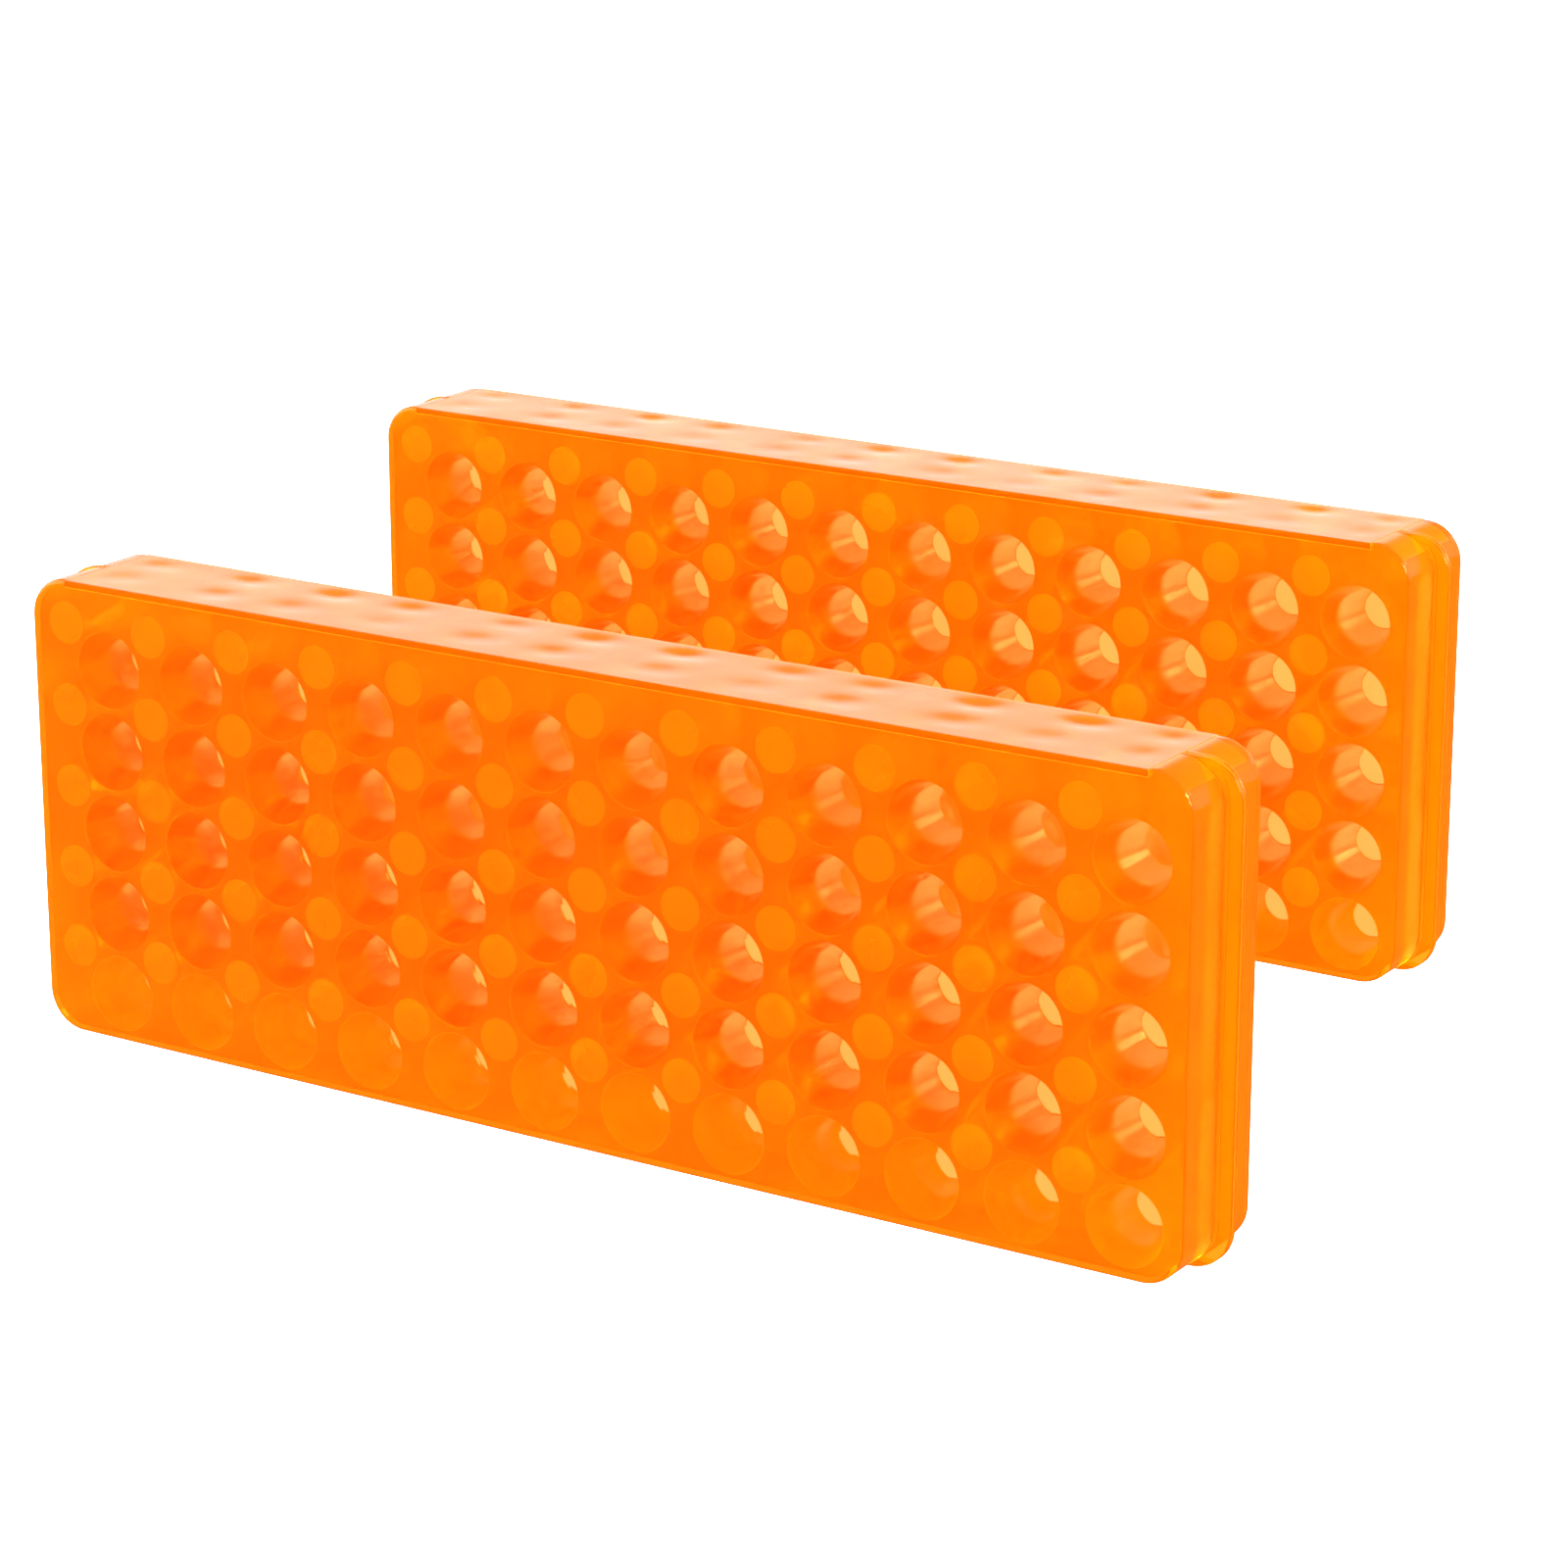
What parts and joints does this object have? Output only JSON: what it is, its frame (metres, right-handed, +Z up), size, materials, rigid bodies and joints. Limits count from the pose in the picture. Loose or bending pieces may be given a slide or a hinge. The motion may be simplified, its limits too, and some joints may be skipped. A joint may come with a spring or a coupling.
{
  "type": "tire traction mats",
  "caption": "Pair of clear orange folding tire traction mats, folded shut and standing on edge, with conical studs inside.",
  "frame": {"origin": "on the floor, under the middle of the box around both mats", "axes": "+X along the mats' length, +Y from the first mat towards the second one behind it, +Z up"},
  "size_m": [0.4496, 0.285, 0.139],
  "materials": {
    "clear_orange_sheet": "glossy translucent soft plastic",
    "clear_orange_rim": "glossy translucent soft plastic",
    "clear_orange_spine": "glossy translucent soft plastic"
  },
  "bodies": {
    "mat_a_back_leaf": {"mat_a_back_stud_sheet": "clear_orange_sheet", "mat_a_back_rim_wall": "clear_orange_rim", "mat_a_back_flange": "clear_orange_rim"},
    "mat_a_spine": {"mat_a_spine_web": "clear_orange_spine", "mat_a_front_crease": "clear_orange_spine", "mat_a_back_crease": "clear_orange_spine"},
    "mat_a_front_leaf": {"mat_a_front_stud_sheet": "clear_orange_sheet", "mat_a_front_rim_wall": "clear_orange_rim", "mat_a_front_flange": "clear_orange_rim"},
    "mat_b_back_leaf": {"mat_b_back_stud_sheet": "clear_orange_sheet", "mat_b_back_rim_wall": "clear_orange_rim", "mat_b_back_flange": "clear_orange_rim"},
    "mat_b_spine": {"mat_b_spine_web": "clear_orange_spine", "mat_b_front_crease": "clear_orange_spine", "mat_b_back_crease": "clear_orange_spine"},
    "mat_b_front_leaf": {"mat_b_front_stud_sheet": "clear_orange_sheet", "mat_b_front_rim_wall": "clear_orange_rim", "mat_b_front_flange": "clear_orange_rim"}
  },
  "joints": [
    {"name": "mat_a_back_fold", "type": "hinge", "parent": "mat_a_back_leaf", "child": "mat_a_spine", "pos_m": [0, -0.1055, 0.138], "axis": [-1, 0, 0], "range_deg": [0, 90]},
    {"name": "mat_a_front_fold", "type": "hinge", "parent": "mat_a_spine", "child": "mat_a_front_leaf", "pos_m": [0, -0.1415, 0.138], "axis": [-1, 0, 0], "range_deg": [0, 90]},
    {"name": "mat_b_lift", "type": "slide", "parent": "mat_a_back_leaf", "child": "mat_b_back_leaf", "axis": [0, 0, 1], "range_m": [0, 0.15]},
    {"name": "mat_b_back_fold", "type": "hinge", "parent": "mat_b_back_leaf", "child": "mat_b_spine", "pos_m": [0, 0.1415, 0.138], "axis": [-1, 0, 0], "range_deg": [0, 90]},
    {"name": "mat_b_front_fold", "type": "hinge", "parent": "mat_b_spine", "child": "mat_b_front_leaf", "pos_m": [0, 0.1055, 0.138], "axis": [-1, 0, 0], "range_deg": [0, 90]}
  ],
  "couplings": [
    {"joint": "mat_a_front_fold", "follows": "mat_a_back_fold", "ratio": 1},
    {"joint": "mat_b_front_fold", "follows": "mat_b_back_fold", "ratio": 1}
  ]
}
